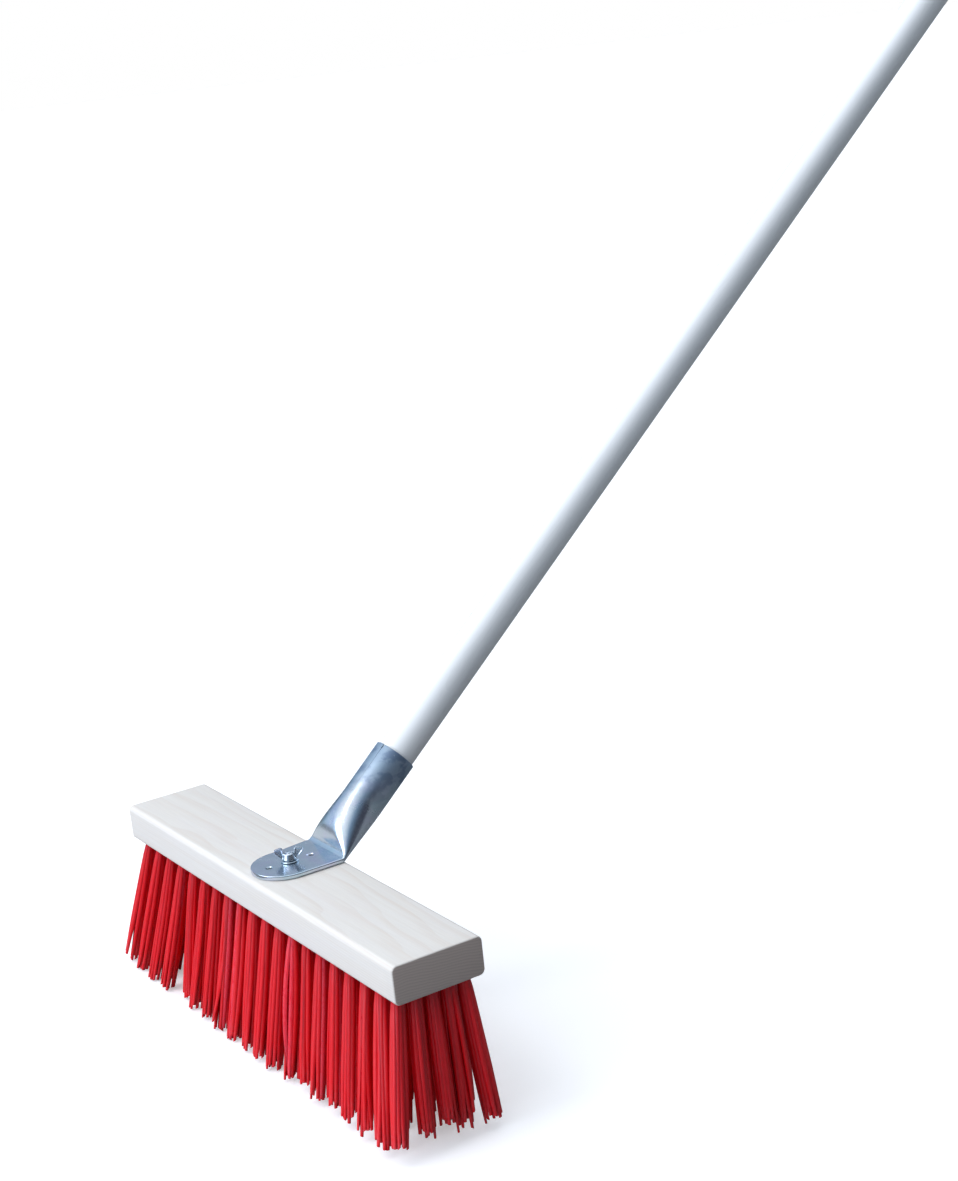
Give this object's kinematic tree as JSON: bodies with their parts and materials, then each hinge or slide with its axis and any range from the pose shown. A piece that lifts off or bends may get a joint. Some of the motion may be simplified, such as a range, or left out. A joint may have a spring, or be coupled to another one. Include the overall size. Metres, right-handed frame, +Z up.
{
  "type": "push broom",
  "caption": "Push broom: wooden head with splayed tufts of stiff plastic bristle, flat-ended tube holder under a wing nut, and a long round handle leaning back.",
  "frame": {"origin": "on the plane of the trimmed bristle tips, under the middle of the head", "axes": "+Z up, +X along the head, +Y the way the handle leans back"},
  "size_m": [0.4266, 1.1751, 1.0859],
  "materials": {
    "head_wood": "planed and sanded, unvarnished",
    "bristle_plastic": "smooth extruded filament",
    "zinc_steel": "bright blue-tinted zinc plating",
    "handle_lacquer": "white gloss lacquer"
  },
  "bodies": {
    "head": {"head_block": "head_wood", "tuft_column_01": "bristle_plastic", "tuft_column_02": "bristle_plastic", "tuft_column_03": "bristle_plastic", "tuft_column_04": "bristle_plastic", "tuft_column_05": "bristle_plastic", "tuft_column_06": "bristle_plastic", "tuft_column_07": "bristle_plastic", "tuft_column_08": "bristle_plastic", "tuft_column_09": "bristle_plastic", "tuft_column_10": "bristle_plastic", "tuft_column_11": "bristle_plastic", "tuft_column_12": "bristle_plastic", "tuft_column_13": "bristle_plastic", "tuft_column_14": "bristle_plastic", "tuft_column_15": "bristle_plastic", "tuft_column_16": "bristle_plastic", "tuft_column_17": "bristle_plastic", "tuft_column_18": "bristle_plastic", "tuft_column_19": "bristle_plastic", "tuft_column_20": "bristle_plastic", "carriage_bolt": "zinc_steel"},
    "holder": {"handle_holder": "zinc_steel"},
    "handle": {"handle": "handle_lacquer"},
    "washer": {"washer": "zinc_steel"},
    "nut": {"wing_nut": "zinc_steel"}
  },
  "joints": [
    {"name": "holder_swivel", "type": "hinge", "parent": "head", "child": "holder", "pos_m": [0.0048, 0, 0.133], "axis": [0, 0, 1], "continuous": true},
    {"name": "handle_pull", "type": "slide", "parent": "holder", "child": "handle", "axis": [0, 0.7559, 0.6547], "range_m": [0, 0.04]},
    {"name": "nut_rise", "type": "slide", "parent": "head", "child": "washer", "axis": [0, 0, 1], "range_m": [0, 0.005]},
    {"name": "nut_turn", "type": "hinge", "parent": "washer", "child": "nut", "pos_m": [0.0048, 0, 0.138], "axis": [0, 0, 1], "range_deg": [0, 1800]}
  ],
  "couplings": [
    {"joint": "nut_turn", "follows": "nut_rise", "rad_per_m": 6283.2}
  ]
}
